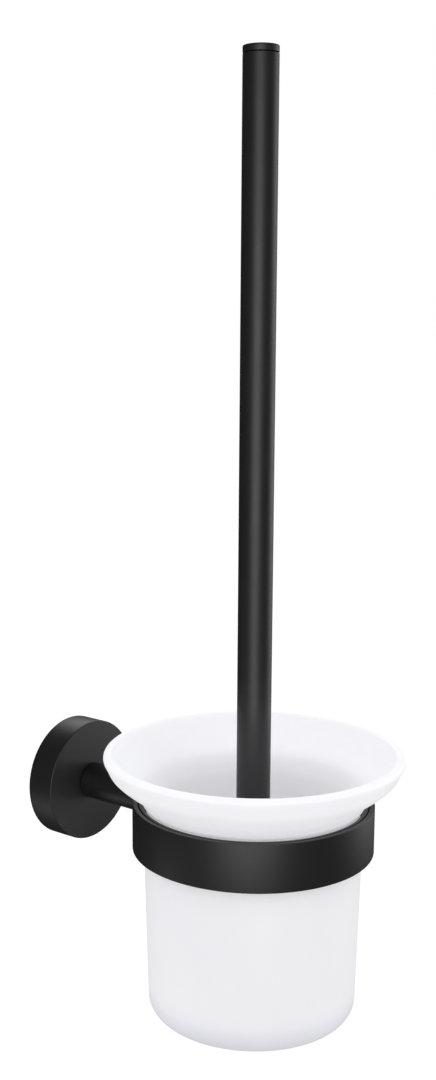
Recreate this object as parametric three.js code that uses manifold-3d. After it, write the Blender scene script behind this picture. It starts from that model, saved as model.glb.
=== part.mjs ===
import * as THREE from 'three';
import { mergeVertices } from 'three/addons/utils/BufferGeometryUtils.js';
import Module from 'manifold-3d';

// Wall-mounted toilet brush holder: a round rosette and arm carry a ring, a frosted glass cup hangs in the
// ring, and the brush stands in the cup. Millimetres, +Z up. The origin is the centre of the back face, on
// the wall. +Y points into the wall, and the cup's upright axis passes through y = -REACH.

// Driving dimensions.
const REACH = 103.5;           // wall to the cup's axis
const GAP = 0.3;               // clearance that touching pieces keep
const ROUND_STEPS = 48;        // sides of the rosette, ring, cup and brush head
const ROD_STEPS = 32;          // sides of the arm, the handle and larger hardware
const SCREW_STEPS = 24;        // sides of small screws and holes
const OVERSHOOT = 1;           // how far a cutter runs past the face that it opens

const ROSETTE_RADIUS = 27;
const ROSETTE_DEPTH = 13.5;
const ROSETTE_WALL = 3.4;
const ROSETTE_FRONT = 3;
const ROSETTE_BEVEL = 0.6;

const PLATE_RADIUS = 23;
const PLATE_DEPTH = 8.5;
const PLATE_FLOOR = 2.2;       // thickness left under the screw-head recess
const PLATE_RECESS_RADIUS = 8;
const PLATE_HOLE_RADIUS = 2.3;
const PLATE_SINK_DEPTH = 2.3;  // countersink at 45 degrees
const PLATE_HOLE_OFFSET = 15.5;
const GROOVE_DEPTH = 1.4;      // V-groove in the plate's rim, for the grub screw
const GROOVE_Y = -3.6;
const GRUB_RADIUS = 1.9;
const GRUB_TIP = PLATE_RADIUS - GROOVE_DEPTH + 0.7;
const GRUB_TIP_RADIUS = 0.25;
const GRUB_SINK = 0.6;         // how far the grub screw sits inside the rosette's rim
const GRUB_SOCKET_RADIUS = 1.15;
const GRUB_SOCKET_DEPTH = 1.6;

const ARM_RADIUS = 8;
const ARM_BEVEL = 0.35;
const ARM_OVERLAP = 6;         // length of bar that the saddle cut takes away
const ARM_BORE_RADIUS = 3.1;
const ARM_BORE_DEPTH = 16;
const ARM_SCREW_RADIUS = 2.8;
const ARM_SCREW_BEVEL = 0.6;
const ARM_SCREW_HEAD_RADIUS = 5;
const ARM_SCREW_HEAD_DEPTH = 2.4;
const ARM_SCREW_HEAD_BEVEL = 0.4;
const ARM_SOCKET_RADIUS = 2.3;
const ARM_SOCKET_DEPTH = 1.5;
const BORE_END_SPACE = 1.5;    // left between the screw's tip and the end of its bore
const WASHER_DEPTH = 0.8;
const WASHER_RADIUS = 6.2;

const RING_RADIUS = 50;
const RING_WALL = 2.25;
const RING_HEIGHT = 20;
const RING_BEVEL = 0.35;
const RING_INNER_BEVEL = 0.6;
const RING_SCREW_RADIUS = 2.4;
const RING_SCREW_HEAD_RADIUS = 3.75;
const RING_SCREW_LENGTH = 13.4;
const RING_SCREW_BEVEL = 0.5;
const RING_SCREW_CLEARANCE = 0.4;
const RING_SOCKET_RADIUS = 1.45;
const RING_SOCKET_DEPTH = 1.2;
const COUNTERSINK_DEPTH = 3;
const COUNTERSINK_OUTER = RING_RADIUS - 0.6;   // where the countersink has narrowed to the shank

const SEAT_OUTER_RADIUS = 47.4;
const SEAT_INNER_RADIUS = 45.5;
const SEAT_BOTTOM = -6;
const SEAT_TOP = 9.8;
const SEAT_BEVEL = 0.8;

const CUP_BOTTOM = -82;
const CUP_BASE_THICKNESS = 5;
const CUP_FOOT_RADIUS = 43.5;  // body radius just above the bottom corner
const CUP_BODY_RADIUS = 45;    // body radius just under the ring
const CUP_NECK_RADIUS = 44.1;
const CUP_CORNER = 7.6;
const CUP_INNER_CORNER = 5;
const CUP_WALL = 3.2;
const LIP_ROUND = 2.4;
const LIP_RADIUS = 59.4;       // cup axis to the middle of the round lip
const LIP_HEIGHT = 29.2;

// The cup's flare as [radius, height]: the outside from the neck up to the lip, the inside from the lip down.
const CUP_BODY_TOP = -16;
const NECK_TOP = 6;
const FLARE_OUTSIDE = [
  [44.6, 9.3], [45.9, 10.5], [46.4, 12.2], [47.7, 14], [50.5, 16.2], [54.7, 19.3], [58.8, 23], [60.7, 26.6],
  [LIP_RADIUS + 2.2, LIP_HEIGHT - 0.9],
];
const FLARE_INSIDE = [
  [56.5, 27.2], [54.8, 24.2], [51.9, 20.7], [48.2, 17.7], [44.8, 15.2], [42.4, 12], [41, 8], [41, 0],
];

const HANDLE_RADIUS = 7;
const HANDLE_WALL = 1.1;
const HANDLE_TOP = 307;
const HANDLE_CAP_HEIGHT = 2.6;
const HANDLE_BOTTOM = 2;       // where the tube ends, down inside the cup
const CAP_SPIGOT_LENGTH = 8;
const CAP_BEVEL = 0.5;
const INSERT_SPIGOT_LENGTH = 18;
const INSERT_FLANGE_HEIGHT = 3;
const INSERT_BEVEL = 0.3;
const STUD_RADIUS = 2.7;
const STUD_BORE_RADIUS = 3.1;
const STUD_BOTTOM = -17;
const STUD_TOP = 13;
const STUD_BEVEL = 0.5;
const STUD_END_SPACE = 1;      // left past each end of the stud in its blind holes

const CORE_TOP = -1.6;
const CORE_BOTTOM = -66;
const CORE_RADIUS = 6.5;
const CORE_COLLAR_RADIUS = 9.5;
const CORE_COLLAR_HEIGHT = 4;
const CORE_BEVEL = 1;
const BRISTLE_RADIUS = 35;
const BRISTLE_TOP = -8;
const BRISTLE_SHOULDER = 5;    // corner radius of the trimmed brush head
const BRISTLE_SPLIT = -66.4;   // side tufts above, end tufts below
const BRISTLE_BOTTOM = -76.6;
const BRISTLE_TAPER = 1.4;     // how much narrower the side tufts are at their lowest row
const BRISTLE_TAPER_HEIGHT = 6;

// Finishes.
const blackPowder = { color: 0x1c1c1e, roughness: 0.55, metalness: 0.2 };
const zinc = { color: 0xb4b6b8, roughness: 0.45, metalness: 0.9 };
const steel = { color: 0xc6c8ca, roughness: 0.3, metalness: 1 };
const blackPlastic = { color: 0x232325, roughness: 0.6, metalness: 0 };
const frostedGlass = { color: 0xe9ebf4, roughness: 0.6, metalness: 0 };
const whitePlastic = { color: 0xeeeeec, roughness: 0.5, metalness: 0 };
const whiteNylon = { color: 0xf4f4f0, roughness: 0.7, metalness: 0 };

const manifold = await Module();
manifold.setup();

// Profiles are lists of [radius, height] pairs.
function points(pairs) {
  return pairs.map(([radius, height]) => new THREE.Vector2(radius, height));
}

function arc(centreRadius, centreHeight, radius, startDegrees, endDegrees, steps) {
  const list = [];
  for (let i = 0; i <= steps; i += 1) {
    const angle = THREE.MathUtils.degToRad(startDegrees + ((endDegrees - startDegrees) * i) / steps);
    list.push([centreRadius + radius * Math.cos(angle), centreHeight + radius * Math.sin(angle)]);
  }
  return list;
}

function smooth(pairs, steps) {
  return new THREE.SplineCurve(points(pairs)).getPoints(steps).map((point) => [point.x, point.y]);
}

// Revolve a profile about Y, the axis square to the wall.
function turnedAboutY(profile, steps) {
  return new THREE.LatheGeometry(points(profile), steps);
}

// Revolve a profile about the cup's upright axis.
function turnedAboutCup(profile, steps) {
  return new THREE.LatheGeometry(points(profile), steps).rotateX(Math.PI / 2).translate(0, -REACH, 0);
}

// A closed ring section between two radii and two heights.
function band(inner, outer, low, high) {
  return [[inner, low], [outer, low], [outer, high], [inner, high], [inner, low]];
}

// A solid rod section from the axis.
function rod(radius, low, high) {
  return [[0, low], [radius, low], [radius, high], [0, high]];
}

function solid(geometry) {
  const plain = geometry.clone();
  plain.deleteAttribute('normal');
  plain.deleteAttribute('uv');
  const merged = mergeVertices(plain, 1e-4);
  return new manifold.Manifold(new manifold.Mesh({
    numProp: 3,
    vertProperties: new Float32Array(merged.attributes.position.array),
    triVerts: new Uint32Array(merged.index.array),
  }));
}

function geometryOf(body) {
  const mesh = body.getMesh();
  const geometry = new THREE.BufferGeometry();
  geometry.setAttribute('position', new THREE.BufferAttribute(new Float32Array(mesh.vertProperties), 3));
  geometry.setIndex(new THREE.BufferAttribute(new Uint32Array(mesh.triVerts), 1));
  geometry.computeVertexNormals();
  return geometry;
}

function cut(geometry, cutters) {
  const body = cutters.reduce((rest, cutter) => rest.subtract(solid(cutter)), solid(geometry));
  return geometryOf(body);
}

// A hexagonal socket along Y, from low to high.
function hexAlongY(radius, low, high) {
  return new THREE.CylinderGeometry(radius, radius, high - low, 6).translate(0, (low + high) / 2, 0);
}

function wallPlate() {
  const groove = [[PLATE_RADIUS, GROOVE_Y + GROOVE_DEPTH], [PLATE_RADIUS - GROOVE_DEPTH, GROOVE_Y],
    [PLATE_RADIUS, GROOVE_Y - GROOVE_DEPTH]];
  const disc = turnedAboutY([
    [0, -PLATE_FLOOR], [PLATE_RECESS_RADIUS, -PLATE_FLOOR], [PLATE_RECESS_RADIUS, -PLATE_DEPTH],
    [PLATE_RADIUS, -PLATE_DEPTH], ...groove.reverse(), [PLATE_RADIUS, 0], [0, 0],
  ], ROUND_STEPS);
  const mouth = PLATE_HOLE_RADIUS + PLATE_SINK_DEPTH + OVERSHOOT;
  const hole = [[0, -PLATE_DEPTH - OVERSHOOT], [mouth, -PLATE_DEPTH - OVERSHOOT],
    [PLATE_HOLE_RADIUS, -PLATE_DEPTH + PLATE_SINK_DEPTH], [PLATE_HOLE_RADIUS, OVERSHOOT], [0, OVERSHOOT]];
  const holes = [-1, 1].map(
    (side) => turnedAboutY(hole, SCREW_STEPS).translate(0, 0, side * PLATE_HOLE_OFFSET));
  return cut(disc, holes);
}

function rosette() {
  const inner = ROSETTE_RADIUS - ROSETTE_WALL;
  const bore = ARM_SCREW_RADIUS + 2 * GAP;
  const cover = turnedAboutY([
    [bore, -ROSETTE_DEPTH], [ROSETTE_RADIUS - ROSETTE_BEVEL, -ROSETTE_DEPTH],
    [ROSETTE_RADIUS, -ROSETTE_DEPTH + ROSETTE_BEVEL], [ROSETTE_RADIUS, -GAP], [inner, -GAP],
    [inner, ROSETTE_FRONT - ROSETTE_DEPTH], [bore, ROSETTE_FRONT - ROSETTE_DEPTH], [bore, -ROSETTE_DEPTH],
  ], ROUND_STEPS);
  const hole = GRUB_RADIUS + GAP;
  const grubHole = new THREE.CylinderGeometry(hole, hole, 2 * ROSETTE_WALL + 2 * OVERSHOOT, SCREW_STEPS)
    .rotateX(Math.PI / 2).translate(0, GROOVE_Y, -ROSETTE_RADIUS);
  return cut(cover, [grubHole]);
}

// The grub screw points up at the groove, with its cone in the V and a hex socket below.
function grubScrew() {
  const head = -ROSETTE_RADIUS + GRUB_SINK;
  const coneStart = -GRUB_TIP - GRUB_RADIUS + GRUB_TIP_RADIUS;
  const body = new THREE.LatheGeometry(points([
    [0, head], [GRUB_RADIUS, head], [GRUB_RADIUS, coneStart], [GRUB_TIP_RADIUS, -GRUB_TIP],
    [0, -GRUB_TIP],
  ]), SCREW_STEPS);
  const socket = hexAlongY(GRUB_SOCKET_RADIUS, head - OVERSHOOT, head + GRUB_SOCKET_DEPTH);
  return cut(body, [socket]).rotateX(Math.PI / 2).translate(0, GROOVE_Y, 0);
}

function arm() {
  const start = -ROSETTE_DEPTH - GAP;
  const end = -REACH + RING_RADIUS - ARM_OVERLAP;
  const bar = turnedAboutY([
    [0, end], [ARM_RADIUS, end], [ARM_RADIUS, start - ARM_BEVEL], [ARM_RADIUS - ARM_BEVEL, start], [0, start],
  ], ROD_STEPS);
  const saddle = turnedAboutCup(rod(RING_RADIUS + GAP, -RING_HEIGHT, RING_HEIGHT), 2 * ROUND_STEPS);
  const rearBore = turnedAboutY(rod(ARM_BORE_RADIUS, start - ARM_BORE_DEPTH, start + OVERSHOOT), SCREW_STEPS);
  const frontBoreEnd = -REACH + RING_RADIUS + RING_SCREW_LENGTH;
  const frontBore = turnedAboutY(
    rod(RING_SCREW_RADIUS + RING_SCREW_CLEARANCE, end, frontBoreEnd), SCREW_STEPS);
  return cut(bar, [saddle, rearBore, frontBore]);
}

function armWasher() {
  const front = ROSETTE_FRONT - ROSETTE_DEPTH + GAP;
  return turnedAboutY(band(ARM_SCREW_RADIUS + GAP, WASHER_RADIUS, front, front + WASHER_DEPTH), ROD_STEPS);
}

function armScrew() {
  const seat = ROSETTE_FRONT - ROSETTE_DEPTH + WASHER_DEPTH + 2 * GAP;
  const head = seat + ARM_SCREW_HEAD_DEPTH;
  const tip = -ROSETTE_DEPTH - ARM_BORE_DEPTH + BORE_END_SPACE;
  const screw = turnedAboutY([
    [0, tip], [ARM_SCREW_RADIUS - ARM_SCREW_BEVEL, tip], [ARM_SCREW_RADIUS, tip + ARM_SCREW_BEVEL],
    [ARM_SCREW_RADIUS, seat], [ARM_SCREW_HEAD_RADIUS, seat],
    [ARM_SCREW_HEAD_RADIUS, head - ARM_SCREW_HEAD_BEVEL],
    [ARM_SCREW_HEAD_RADIUS - ARM_SCREW_HEAD_BEVEL, head], [0, head],
  ], ROD_STEPS);
  return cut(screw, [hexAlongY(ARM_SOCKET_RADIUS, head - ARM_SOCKET_DEPTH, head + OVERSHOOT)]);
}

function ring() {
  const inner = RING_RADIUS - RING_WALL;
  const half = RING_HEIGHT / 2;
  const hoop = turnedAboutCup([
    [inner + RING_BEVEL, -half], [RING_RADIUS - RING_BEVEL, -half], [RING_RADIUS, -half + RING_BEVEL],
    [RING_RADIUS, half - RING_BEVEL], [RING_RADIUS - RING_BEVEL, half],
    [inner + RING_INNER_BEVEL, half], [inner, half - RING_INNER_BEVEL], [inner, -half + RING_BEVEL],
    [inner + RING_BEVEL, -half],
  ], 2 * ROUND_STEPS);
  const hole = RING_SCREW_RADIUS + RING_SCREW_CLEARANCE;
  const narrow = -REACH + COUNTERSINK_OUTER;
  const screwHole = turnedAboutY([
    [0, narrow - COUNTERSINK_DEPTH], [hole + COUNTERSINK_DEPTH, narrow - COUNTERSINK_DEPTH], [hole, narrow],
    [hole, narrow + COUNTERSINK_DEPTH], [0, narrow + COUNTERSINK_DEPTH],
  ], SCREW_STEPS);
  return cut(hoop, [screwHole]);
}

function ringScrew() {
  const narrow = -REACH + COUNTERSINK_OUTER;
  const face = narrow - (RING_SCREW_HEAD_RADIUS - RING_SCREW_RADIUS);
  const tip = face + RING_SCREW_LENGTH;
  const screw = turnedAboutY([
    [0, face], [RING_SCREW_HEAD_RADIUS, face], [RING_SCREW_RADIUS, narrow],
    [RING_SCREW_RADIUS, tip - RING_SCREW_BEVEL], [RING_SCREW_RADIUS - RING_SCREW_BEVEL, tip], [0, tip],
  ], SCREW_STEPS);
  return cut(screw, [hexAlongY(RING_SOCKET_RADIUS, face - OVERSHOOT, face + RING_SOCKET_DEPTH)]);
}

function seatRing() {
  return turnedAboutCup([
    [SEAT_INNER_RADIUS, SEAT_BOTTOM], [SEAT_OUTER_RADIUS, SEAT_BOTTOM], [SEAT_OUTER_RADIUS, SEAT_TOP],
    [SEAT_INNER_RADIUS + SEAT_BEVEL, SEAT_TOP], [SEAT_INNER_RADIUS, SEAT_TOP - SEAT_BEVEL],
    [SEAT_INNER_RADIUS, SEAT_BOTTOM],
  ], ROUND_STEPS);
}

// The cup: flat base, round corner, slightly tapered body, neck in the ring, bowl-shaped flare and round lip.
function glassCup() {
  const outerCorner = arc(CUP_FOOT_RADIUS - CUP_CORNER, CUP_BOTTOM + CUP_CORNER, CUP_CORNER, -90, 0, 5);
  const outside = smooth([
    [CUP_BODY_RADIUS, CUP_BODY_TOP], [CUP_NECK_RADIUS + 0.2, -2], [CUP_NECK_RADIUS, NECK_TOP],
    ...FLARE_OUTSIDE,
  ], 16);
  const lip = arc(LIP_RADIUS, LIP_HEIGHT, LIP_ROUND, 0, 170, 6);
  const inside = smooth([...FLARE_INSIDE, [CUP_BODY_RADIUS - CUP_WALL, CUP_BODY_TOP]], 14);
  const floor = CUP_BOTTOM + CUP_BASE_THICKNESS;
  const innerFoot = CUP_FOOT_RADIUS - CUP_WALL;
  const innerCorner = arc(
    innerFoot - CUP_INNER_CORNER, floor + CUP_INNER_CORNER, CUP_INNER_CORNER, 0, -90, 4);
  return turnedAboutCup([
    [0, CUP_BOTTOM], ...outerCorner, ...outside, ...lip, ...inside, ...innerCorner, [0, floor],
  ], ROUND_STEPS);
}

function handleTube() {
  const top = HANDLE_TOP - HANDLE_CAP_HEIGHT - GAP;
  return turnedAboutCup(band(HANDLE_RADIUS - HANDLE_WALL, HANDLE_RADIUS, HANDLE_BOTTOM, top), ROD_STEPS);
}

function handleCap() {
  const spigot = HANDLE_RADIUS - HANDLE_WALL - GAP;
  const under = HANDLE_TOP - HANDLE_CAP_HEIGHT;
  return turnedAboutCup([
    [0, under - CAP_SPIGOT_LENGTH], [spigot, under - CAP_SPIGOT_LENGTH], [spigot, under],
    [HANDLE_RADIUS, under], [HANDLE_RADIUS, HANDLE_TOP - CAP_BEVEL], [HANDLE_RADIUS - CAP_BEVEL, HANDLE_TOP],
    [0, HANDLE_TOP],
  ], ROD_STEPS);
}

// The threaded insert closes the tube's lower end and takes the stud of the brush head.
function handleInsert() {
  const spigot = HANDLE_RADIUS - HANDLE_WALL - GAP;
  const flangeTop = HANDLE_BOTTOM - GAP;
  const flangeBottom = flangeTop - INSERT_FLANGE_HEIGHT;
  const boreTop = STUD_TOP + STUD_END_SPACE;
  return turnedAboutCup([
    [STUD_BORE_RADIUS, flangeBottom], [HANDLE_RADIUS - INSERT_BEVEL, flangeBottom],
    [HANDLE_RADIUS, flangeBottom + INSERT_BEVEL], [HANDLE_RADIUS, flangeTop], [spigot, flangeTop],
    [spigot, flangeTop + INSERT_SPIGOT_LENGTH],
    [0, flangeTop + INSERT_SPIGOT_LENGTH], [0, boreTop], [STUD_BORE_RADIUS, boreTop],
    [STUD_BORE_RADIUS, flangeBottom],
  ], ROD_STEPS);
}

function brushStud() {
  return turnedAboutCup([
    [0, STUD_BOTTOM], [STUD_RADIUS - STUD_BEVEL, STUD_BOTTOM], [STUD_RADIUS, STUD_BOTTOM + STUD_BEVEL],
    [STUD_RADIUS, STUD_TOP - STUD_BEVEL], [STUD_RADIUS - STUD_BEVEL, STUD_TOP], [0, STUD_TOP],
  ], SCREW_STEPS);
}

// The moulded core that the tufts are set in, with a collar under the handle and a blind hole for the stud.
function brushCore() {
  const collarBottom = CORE_TOP - CORE_COLLAR_HEIGHT;
  const boreBottom = STUD_BOTTOM - STUD_END_SPACE;
  return turnedAboutCup([
    [0, CORE_BOTTOM], [CORE_RADIUS, CORE_BOTTOM], [CORE_RADIUS, collarBottom - CORE_BEVEL],
    [CORE_COLLAR_RADIUS, collarBottom], [CORE_COLLAR_RADIUS, CORE_TOP - CORE_BEVEL],
    [CORE_COLLAR_RADIUS - CORE_BEVEL, CORE_TOP], [STUD_BORE_RADIUS, CORE_TOP],
    [STUD_BORE_RADIUS, boreBottom], [0, boreBottom],
  ], ROD_STEPS);
}

function sideBristles() {
  const centre = BRISTLE_RADIUS - BRISTLE_SHOULDER;
  const shoulder = arc(centre, BRISTLE_TOP - BRISTLE_SHOULDER, BRISTLE_SHOULDER, 0, 90, 4);
  const inner = CORE_RADIUS + GAP;
  return turnedAboutCup([
    [inner, BRISTLE_SPLIT], [BRISTLE_RADIUS - BRISTLE_TAPER, BRISTLE_SPLIT],
    [BRISTLE_RADIUS, BRISTLE_SPLIT + BRISTLE_TAPER_HEIGHT],
    ...shoulder, [inner, BRISTLE_TOP], [inner, BRISTLE_SPLIT],
  ], ROD_STEPS);
}

// The tufts in the end of the core, trimmed to a shallow dome that stands on the cup's floor.
function endBristles() {
  const dome = smooth([[14, BRISTLE_BOTTOM], [24, BRISTLE_BOTTOM + 1.6], [30.5, BRISTLE_BOTTOM + 5.4],
    [33.2, BRISTLE_SPLIT - GAP]], 8);
  return turnedAboutCup([[0, BRISTLE_BOTTOM], ...dome, [0, BRISTLE_SPLIT - GAP]], ROD_STEPS);
}

const pieces = [
  ['wall_plate', wallPlate, zinc],
  ['rosette', rosette, blackPowder],
  ['grub_screw', grubScrew, steel],
  ['arm', arm, blackPowder],
  ['arm_washer', armWasher, steel],
  ['arm_screw', armScrew, steel],
  ['ring', ring, blackPowder],
  ['ring_screw', ringScrew, steel],
  ['seat_ring', seatRing, blackPlastic],
  ['glass_cup', glassCup, frostedGlass],
  ['handle_tube', handleTube, blackPowder],
  ['handle_cap', handleCap, blackPowder],
  ['handle_insert', handleInsert, blackPlastic],
  ['brush_stud', brushStud, steel],
  ['brush_core', brushCore, whitePlastic],
  ['side_bristles', sideBristles, whiteNylon],
  ['end_bristles', endBristles, whiteNylon],
];

const group = new THREE.Group();
for (const [name, build, finish] of pieces) {
  const mesh = new THREE.Mesh(build(), new THREE.MeshStandardMaterial(finish));
  mesh.name = name;
  group.add(mesh);
}

export default group;
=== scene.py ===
"""Looks of a wall-mounted toilet brush holder, built around its frame. Metres, +Z up, +Y into the wall."""

import math

import bpy
import numpy as np
from bpy.props import FloatProperty, FloatVectorProperty, IntProperty, PointerProperty
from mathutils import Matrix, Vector


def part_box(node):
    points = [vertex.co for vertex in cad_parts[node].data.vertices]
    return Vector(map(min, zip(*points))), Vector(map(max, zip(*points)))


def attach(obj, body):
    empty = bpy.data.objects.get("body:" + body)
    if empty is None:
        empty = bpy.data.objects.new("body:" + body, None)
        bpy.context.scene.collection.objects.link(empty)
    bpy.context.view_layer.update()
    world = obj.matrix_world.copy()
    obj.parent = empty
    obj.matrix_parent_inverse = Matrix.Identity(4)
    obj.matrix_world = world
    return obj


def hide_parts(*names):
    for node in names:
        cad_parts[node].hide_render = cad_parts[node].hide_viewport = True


bl_info = {
    "name": "Toilet brush holder",
    "version": (1, 0, 0),
    "blender": (4, 5, 0),
    "location": "View3D > Sidebar > Brush holder",
    "description": "Builds the finished surfaces of a wall-mounted toilet brush holder round its frame",
    "category": "Add Mesh",
}

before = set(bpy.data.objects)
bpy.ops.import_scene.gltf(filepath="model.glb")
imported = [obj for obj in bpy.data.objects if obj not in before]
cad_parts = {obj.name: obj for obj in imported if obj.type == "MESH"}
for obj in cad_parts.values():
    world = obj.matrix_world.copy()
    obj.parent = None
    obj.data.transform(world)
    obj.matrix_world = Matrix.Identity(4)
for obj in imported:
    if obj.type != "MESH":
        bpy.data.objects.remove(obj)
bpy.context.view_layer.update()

MM = 0.001
FULL_TURN = 2 * math.pi
NO_RADIUS = 1e-9               # a smaller radius is the axis itself


# ---------------------------------------------------------------- sizes and colours a user may change

class HolderSizes(bpy.types.PropertyGroup):
    edge_round: FloatProperty(
        name="Edge round", description="Radius of the small rounds on coated metal edges",
        default=0.45 * MM, min=0.1 * MM, max=0.6 * MM, unit="LENGTH", precision=5)
    ring_inner_bevel: FloatProperty(
        name="Ring inner bevel", description="Width of the bevel on the ring's inner top edge",
        default=0.6 * MM, min=0.2 * MM, max=1 * MM, unit="LENGTH", precision=5)
    glass_wall: FloatProperty(
        name="Glass wall", description="Thickness of the cup's wall",
        default=3.2 * MM, min=2 * MM, max=4 * MM, unit="LENGTH", precision=5)
    glass_base: FloatProperty(
        name="Glass base", description="Thickness of the cup's base",
        default=5 * MM, min=4 * MM, max=5 * MM, unit="LENGTH", precision=5)
    lip_round: FloatProperty(
        name="Lip round", description="Radius of the cup's round lip",
        default=2.4 * MM, min=1.8 * MM, max=2.6 * MM, unit="LENGTH", precision=5)
    thread_pitch: FloatProperty(
        name="Thread pitch", description="Distance between the threads of the screws and the stud",
        default=0.9 * MM, min=0.5 * MM, max=1.5 * MM, unit="LENGTH", precision=5)
    tuft_rows: IntProperty(
        name="Tuft rows", description="Rows of tufts up the brush head", default=13, min=6, max=20)
    tufts_round: IntProperty(
        name="Tufts in a row", description="Tufts round the core in each row", default=14, min=8, max=20)
    filaments: IntProperty(
        name="Filaments", description="Filaments in each tuft", default=26, min=8, max=40)
    filament_width: FloatProperty(
        name="Filament width", description="Diameter of one nylon filament",
        default=0.42 * MM, min=0.2 * MM, max=0.8 * MM, unit="LENGTH", precision=5)
    seed: IntProperty(name="Seed", description="Start of the random scatter of the filaments", default=7)


class HolderColours(bpy.types.PropertyGroup):
    powder: FloatVectorProperty(
        name="Powder coat", description="Matte black powder coat", subtype="COLOR",
        size=3, default=(0.0105, 0.0105, 0.011), min=0, max=1)
    glass: FloatVectorProperty(
        name="Frosted glass", description="Milky acid-frosted glass", subtype="COLOR",
        size=3, default=(0.9, 0.9, 0.94), min=0, max=1)
    zinc: FloatVectorProperty(
        name="Die-cast zinc", description="Bare casting under the rosette", subtype="COLOR",
        size=3, default=(0.5, 0.51, 0.53), min=0, max=1)
    steel: FloatVectorProperty(
        name="Stainless steel", description="Screws, washer and stud", subtype="COLOR",
        size=3, default=(0.58, 0.57, 0.56), min=0, max=1)
    black_plastic: FloatVectorProperty(
        name="Black plastic", description="Ring liner and handle insert", subtype="COLOR",
        size=3, default=(0.02, 0.02, 0.022), min=0, max=1)
    white_plastic: FloatVectorProperty(
        name="White plastic", description="Core of the brush head", subtype="COLOR",
        size=3, default=(0.83, 0.83, 0.81), min=0, max=1)
    nylon: FloatVectorProperty(
        name="Nylon", description="Filaments of the brush head", subtype="COLOR",
        size=3, default=(0.92, 0.92, 0.91), min=0, max=1)
    floor: FloatVectorProperty(
        name="Floor", description="Pale studio floor", subtype="COLOR",
        size=3, default=(0.93, 0.93, 0.93), min=0, max=1)


def settings(context):
    return context.scene.holder_sizes, context.scene.holder_colours


# ---------------------------------------------------------------- shader expressions

class Num:
    """A number socket that can be used in Python sums, each of which adds one Math node."""

    def __init__(self, finish, socket):
        self.finish = finish
        self.socket = socket

    def _math(self, operation, *values):
        return self.finish.node("ShaderNodeMath", {"operation": operation}, dict(enumerate(values)))

    def __add__(self, other):
        return self._math("ADD", self, other)

    def __radd__(self, other):
        return self._math("ADD", other, self)

    def __sub__(self, other):
        return self._math("SUBTRACT", self, other)

    def __rsub__(self, other):
        return self._math("SUBTRACT", other, self)

    def __mul__(self, other):
        return self._math("MULTIPLY", self, other)

    def __rmul__(self, other):
        return self._math("MULTIPLY", other, self)

    def between(self, low, high):
        """0 at low, 1 at high, eased in between."""
        settings = {"interpolation_type": "SMOOTHSTEP"}
        sockets = {"Value": self, "From Min": low, "From Max": high}
        return self.finish.node("ShaderNodeMapRange", settings, sockets)


class Finish:
    """A material round one Principled shader. Fixed values are set on its sockets, varying ones linked."""

    def __init__(self, name, **fixed):
        self.material = bpy.data.materials.new(name)
        self.material.use_nodes = True
        self.tree = self.material.node_tree
        self.shader = self.tree.nodes["Principled BSDF"]
        for socket, value in fixed.items():
            self.shader.inputs[socket.replace("_", " ")].default_value = value
        self.place = self.node("ShaderNodeTexCoord", {}, {}, "Object")

    def node(self, kind, settings, sockets, output=0):
        """Adds a node, makes its settings, fills or links its sockets, and gives one output as a Num."""
        made = self.tree.nodes.new(kind)
        for key, value in settings.items():
            setattr(made, key, value)
        for key, value in sockets.items():
            if isinstance(value, Num):
                self.tree.links.new(value.socket, made.inputs[key])
            else:
                made.inputs[key].default_value = value
        return Num(self, made.outputs[output])

    def noise(self, size, detail=2.0, stretch=(1, 1, 1)):
        """Noise from 0 to 1 with features of the given size in metres, longer along a stretched axis."""
        place = self.node("ShaderNodeVectorMath", {"operation": "MULTIPLY"},
                          {0: self.place, 1: tuple(1 / (size * s) for s in stretch)})
        return self.node("ShaderNodeTexNoise", {}, {"Vector": place, "Scale": 1.0, "Detail": detail})

    def height(self):
        """The Z place on the object, in metres."""
        return self.node("ShaderNodeSeparateXYZ", {}, {0: self.place}, "Z")

    def from_axis(self, centre):
        """Distance from the vertical line through the centre, in metres."""
        moved = self.node("ShaderNodeVectorMath", {"operation": "SUBTRACT"}, {0: self.place, 1: centre})
        flat = self.node("ShaderNodeVectorMath", {"operation": "MULTIPLY"}, {0: moved, 1: (1, 1, 0)})
        return self.node("ShaderNodeVectorMath", {"operation": "LENGTH"}, {0: flat}, "Value")

    def blend(self, factor, low, high):
        """A colour from low at factor 0 to high at 1."""
        return self.node("ShaderNodeMix", {"data_type": "RGBA"},
                         {0: factor, 6: as_colour(low), 7: as_colour(high)}, 2)

    def bump(self, height, strength, distance):
        return self.node("ShaderNodeBump", {},
                         {"Height": height, "Strength": strength, "Distance": distance}, "Normal")

    def feed(self, **varying):
        for socket, value in varying.items():
            self.tree.links.new(value.socket, self.shader.inputs[socket.replace("_", " ")])
        return self.material


def as_colour(value):
    """A Num passes through; a list of three gets an alpha of 1."""
    return value if isinstance(value, Num) else (*value, 1.0)


def shade(colour, factor):
    return tuple(min(1.0, c * factor) for c in colour)


# ---------------------------------------------------------------- finishes

def powder_coat(name, colour):
    """Matte powder coat: a fine orange peel, a faint mottle, and a slightly smoother polish on high spots."""
    coat = Finish(name, Specular_IOR_Level=0.5)
    peel = coat.noise(0.9 * MM, 3)
    grain = coat.noise(0.22 * MM, 2)
    cloud = coat.noise(22 * MM, 3)
    surface = peel * 0.65 + grain * 0.35
    return coat.feed(
        Base_Color=coat.blend(cloud * 0.6 + grain * 0.4, shade(colour, 0.8), shade(colour, 1.3)),
        Roughness=0.4 + cloud * 0.1 + peel * 0.06,
        Normal=coat.bump(surface, 0.35, 0.03 * MM))


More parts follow.
